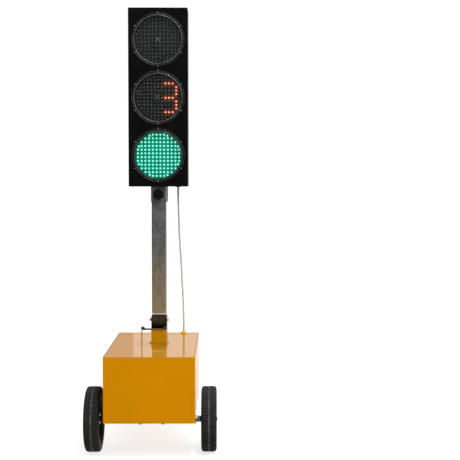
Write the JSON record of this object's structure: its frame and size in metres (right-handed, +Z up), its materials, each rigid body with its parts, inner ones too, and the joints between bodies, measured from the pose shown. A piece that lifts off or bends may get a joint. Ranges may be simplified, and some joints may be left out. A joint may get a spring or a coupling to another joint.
{
  "type": "pedestrian traffic light",
  "caption": "Portable traffic light: LED signal head with a countdown lens on a folding square mast, carried by a wheeled battery box with a hinged lid.",
  "frame": {"origin": "on the ground, in the middle of the footprint", "axes": "+Z up, +X to the right seen from the front, the lenses and the box's front face -Y"},
  "size_m": [0.49, 0.712, 1.715],
  "materials": {
    "yellow_paint": "gloss",
    "lid_paint": "high gloss",
    "yellow_gland": "gloss",
    "seal_rubber": "matt",
    "pad_rubber": "matt",
    "zinc_steel": "zinc plated",
    "passivated_steel": "yellow passivated",
    "black_paint": "satin",
    "battery_case": "satin",
    "strap_steel": "satin",
    "grey_case": "satin",
    "black_plastic": "satin",
    "red_plastic": "gloss",
    "chrome_lock": "polished",
    "tyre_rubber": "matt",
    "rim_plastic": "satin",
    "bearing_steel": "ground",
    "caster_rubber": "matt",
    "galvanised_steel": "hot-dip galvanised",
    "galvanised_bracket": "galvanised",
    "bronze": "plain",
    "knob_plastic": "satin",
    "head_paint": "fine texture, satin",
    "clear_lens": "clear polycarbonate",
    "lamps_unlit": "dark board with frosted lamps",
    "lamps_countdown": "dark board with frosted lamps, one digit lit orange",
    "lamps_green": "board lit green",
    "module_plastic": "satin",
    "clip_steel": "plain",
    "cable_sheath": "satin"
  },
  "bodies": {
    "base": {"box_shell": "yellow_paint", "lid_gasket": "seal_rubber", "hinge_box_leaves": "yellow_paint", "hinge_pins": "zinc_steel", "mast_bracket": "black_paint", "bracket_plate": "zinc_steel", "bracket_bolts": "zinc_steel", "mast_pivot_bolt": "passivated_steel", "axle_bar": "black_paint", "axle_bolts": "zinc_steel", "axle_nuts_and_collars": "zinc_steel", "caster_plate_left": "zinc_steel", "caster_plate_right": "zinc_steel", "caster_bolts": "zinc_steel", "battery": "battery_case", "battery_strap": "strap_steel", "controller_case": "grey_case", "charge_socket": "black_plastic", "gland_box": "yellow_gland", "lock_cylinder": "chrome_lock", "cable": "cable_sheath"},
    "lid": {"lid_panel": "lid_paint", "lid_striker": "zinc_steel", "mast_rest": "yellow_paint", "mast_rest_pad": "pad_rubber", "hinge_lid_leaves": "yellow_paint"},
    "cam": {"lock_cam": "zinc_steel"},
    "rocker": {"power_switch": "red_plastic"},
    "wheel_left": {"tyre_left": "tyre_rubber", "rim_left": "rim_plastic", "bearings_left": "bearing_steel"},
    "wheel_right": {"tyre_right": "tyre_rubber", "rim_right": "rim_plastic", "bearings_right": "bearing_steel"},
    "caster_swivel_left": {"caster_fork_left": "zinc_steel", "caster_axle_left": "zinc_steel"},
    "caster_roller_left": {"caster_wheel_left": "caster_rubber"},
    "caster_swivel_right": {"caster_fork_right": "zinc_steel", "caster_axle_right": "zinc_steel"},
    "caster_roller_right": {"caster_wheel_right": "caster_rubber"},
    "knob": {"clamp_knob": "knob_plastic"},
    "mast": {"mast_tube": "galvanised_steel", "mast_foot": "black_paint", "mast_pivot_bush": "bronze", "head_bracket": "galvanised_bracket", "head_housing": "head_paint", "head_back_cover": "head_paint", "head_seal": "seal_rubber", "head_screws": "zinc_steel", "head_grommet": "seal_rubber", "lens_top": "clear_lens", "lens_middle": "clear_lens", "lens_bottom": "clear_lens", "led_board_top": "lamps_unlit", "led_board_middle": "lamps_countdown", "led_board_bottom": "lamps_green", "module_shell_top": "module_plastic", "module_shell_middle": "module_plastic", "module_shell_bottom": "module_plastic", "lens_clips": "clip_steel"}
  },
  "joints": [
    {"name": "mast_fold", "type": "hinge", "parent": "base", "child": "mast", "pos_m": [0, 0.297, 0.425], "axis": [1, 0, 0], "range_deg": [0, 83]},
    {"name": "lid_open", "type": "hinge", "parent": "base", "child": "lid", "pos_m": [0, 0.219, 0.371], "axis": [1, 0, 0], "range_deg": [-80, 0]},
    {"name": "lock_turn", "type": "hinge", "parent": "base", "child": "cam", "pos_m": [-0.1385, -0.286, 0.335], "axis": [1, 0, 0], "range_deg": [0, 90]},
    {"name": "switch_rock", "type": "hinge", "parent": "base", "child": "rocker", "pos_m": [0.08, 0.094, 0.199], "axis": [1, 0, 0], "range_deg": [-12, 12]},
    {"name": "wheel_left_spin", "type": "hinge", "parent": "base", "child": "wheel_left", "pos_m": [-0.214, -0.216, 0.121], "axis": [1, 0, 0], "continuous": true},
    {"name": "wheel_right_spin", "type": "hinge", "parent": "base", "child": "wheel_right", "pos_m": [0.214, -0.216, 0.121], "axis": [1, 0, 0], "continuous": true},
    {"name": "caster_left_swivel", "type": "hinge", "parent": "base", "child": "caster_swivel_left", "pos_m": [-0.11, 0.214, 0.1207], "axis": [0, 0, 1], "continuous": true},
    {"name": "caster_left_roll", "type": "hinge", "parent": "caster_swivel_left", "child": "caster_roller_left", "pos_m": [-0.11, 0.249, 0.05], "axis": [1, 0, 0], "continuous": true},
    {"name": "caster_right_swivel", "type": "hinge", "parent": "base", "child": "caster_swivel_right", "pos_m": [0.11, 0.214, 0.1207], "axis": [0, 0, 1], "continuous": true},
    {"name": "caster_right_roll", "type": "hinge", "parent": "caster_swivel_right", "child": "caster_roller_right", "pos_m": [0.11, 0.249, 0.05], "axis": [1, 0, 0], "continuous": true},
    {"name": "knob_turn", "type": "hinge", "parent": "mast", "child": "knob", "pos_m": [0, 0.248, 0.951], "axis": [0, -1, 0], "range_deg": [0, 360]}
  ]
}
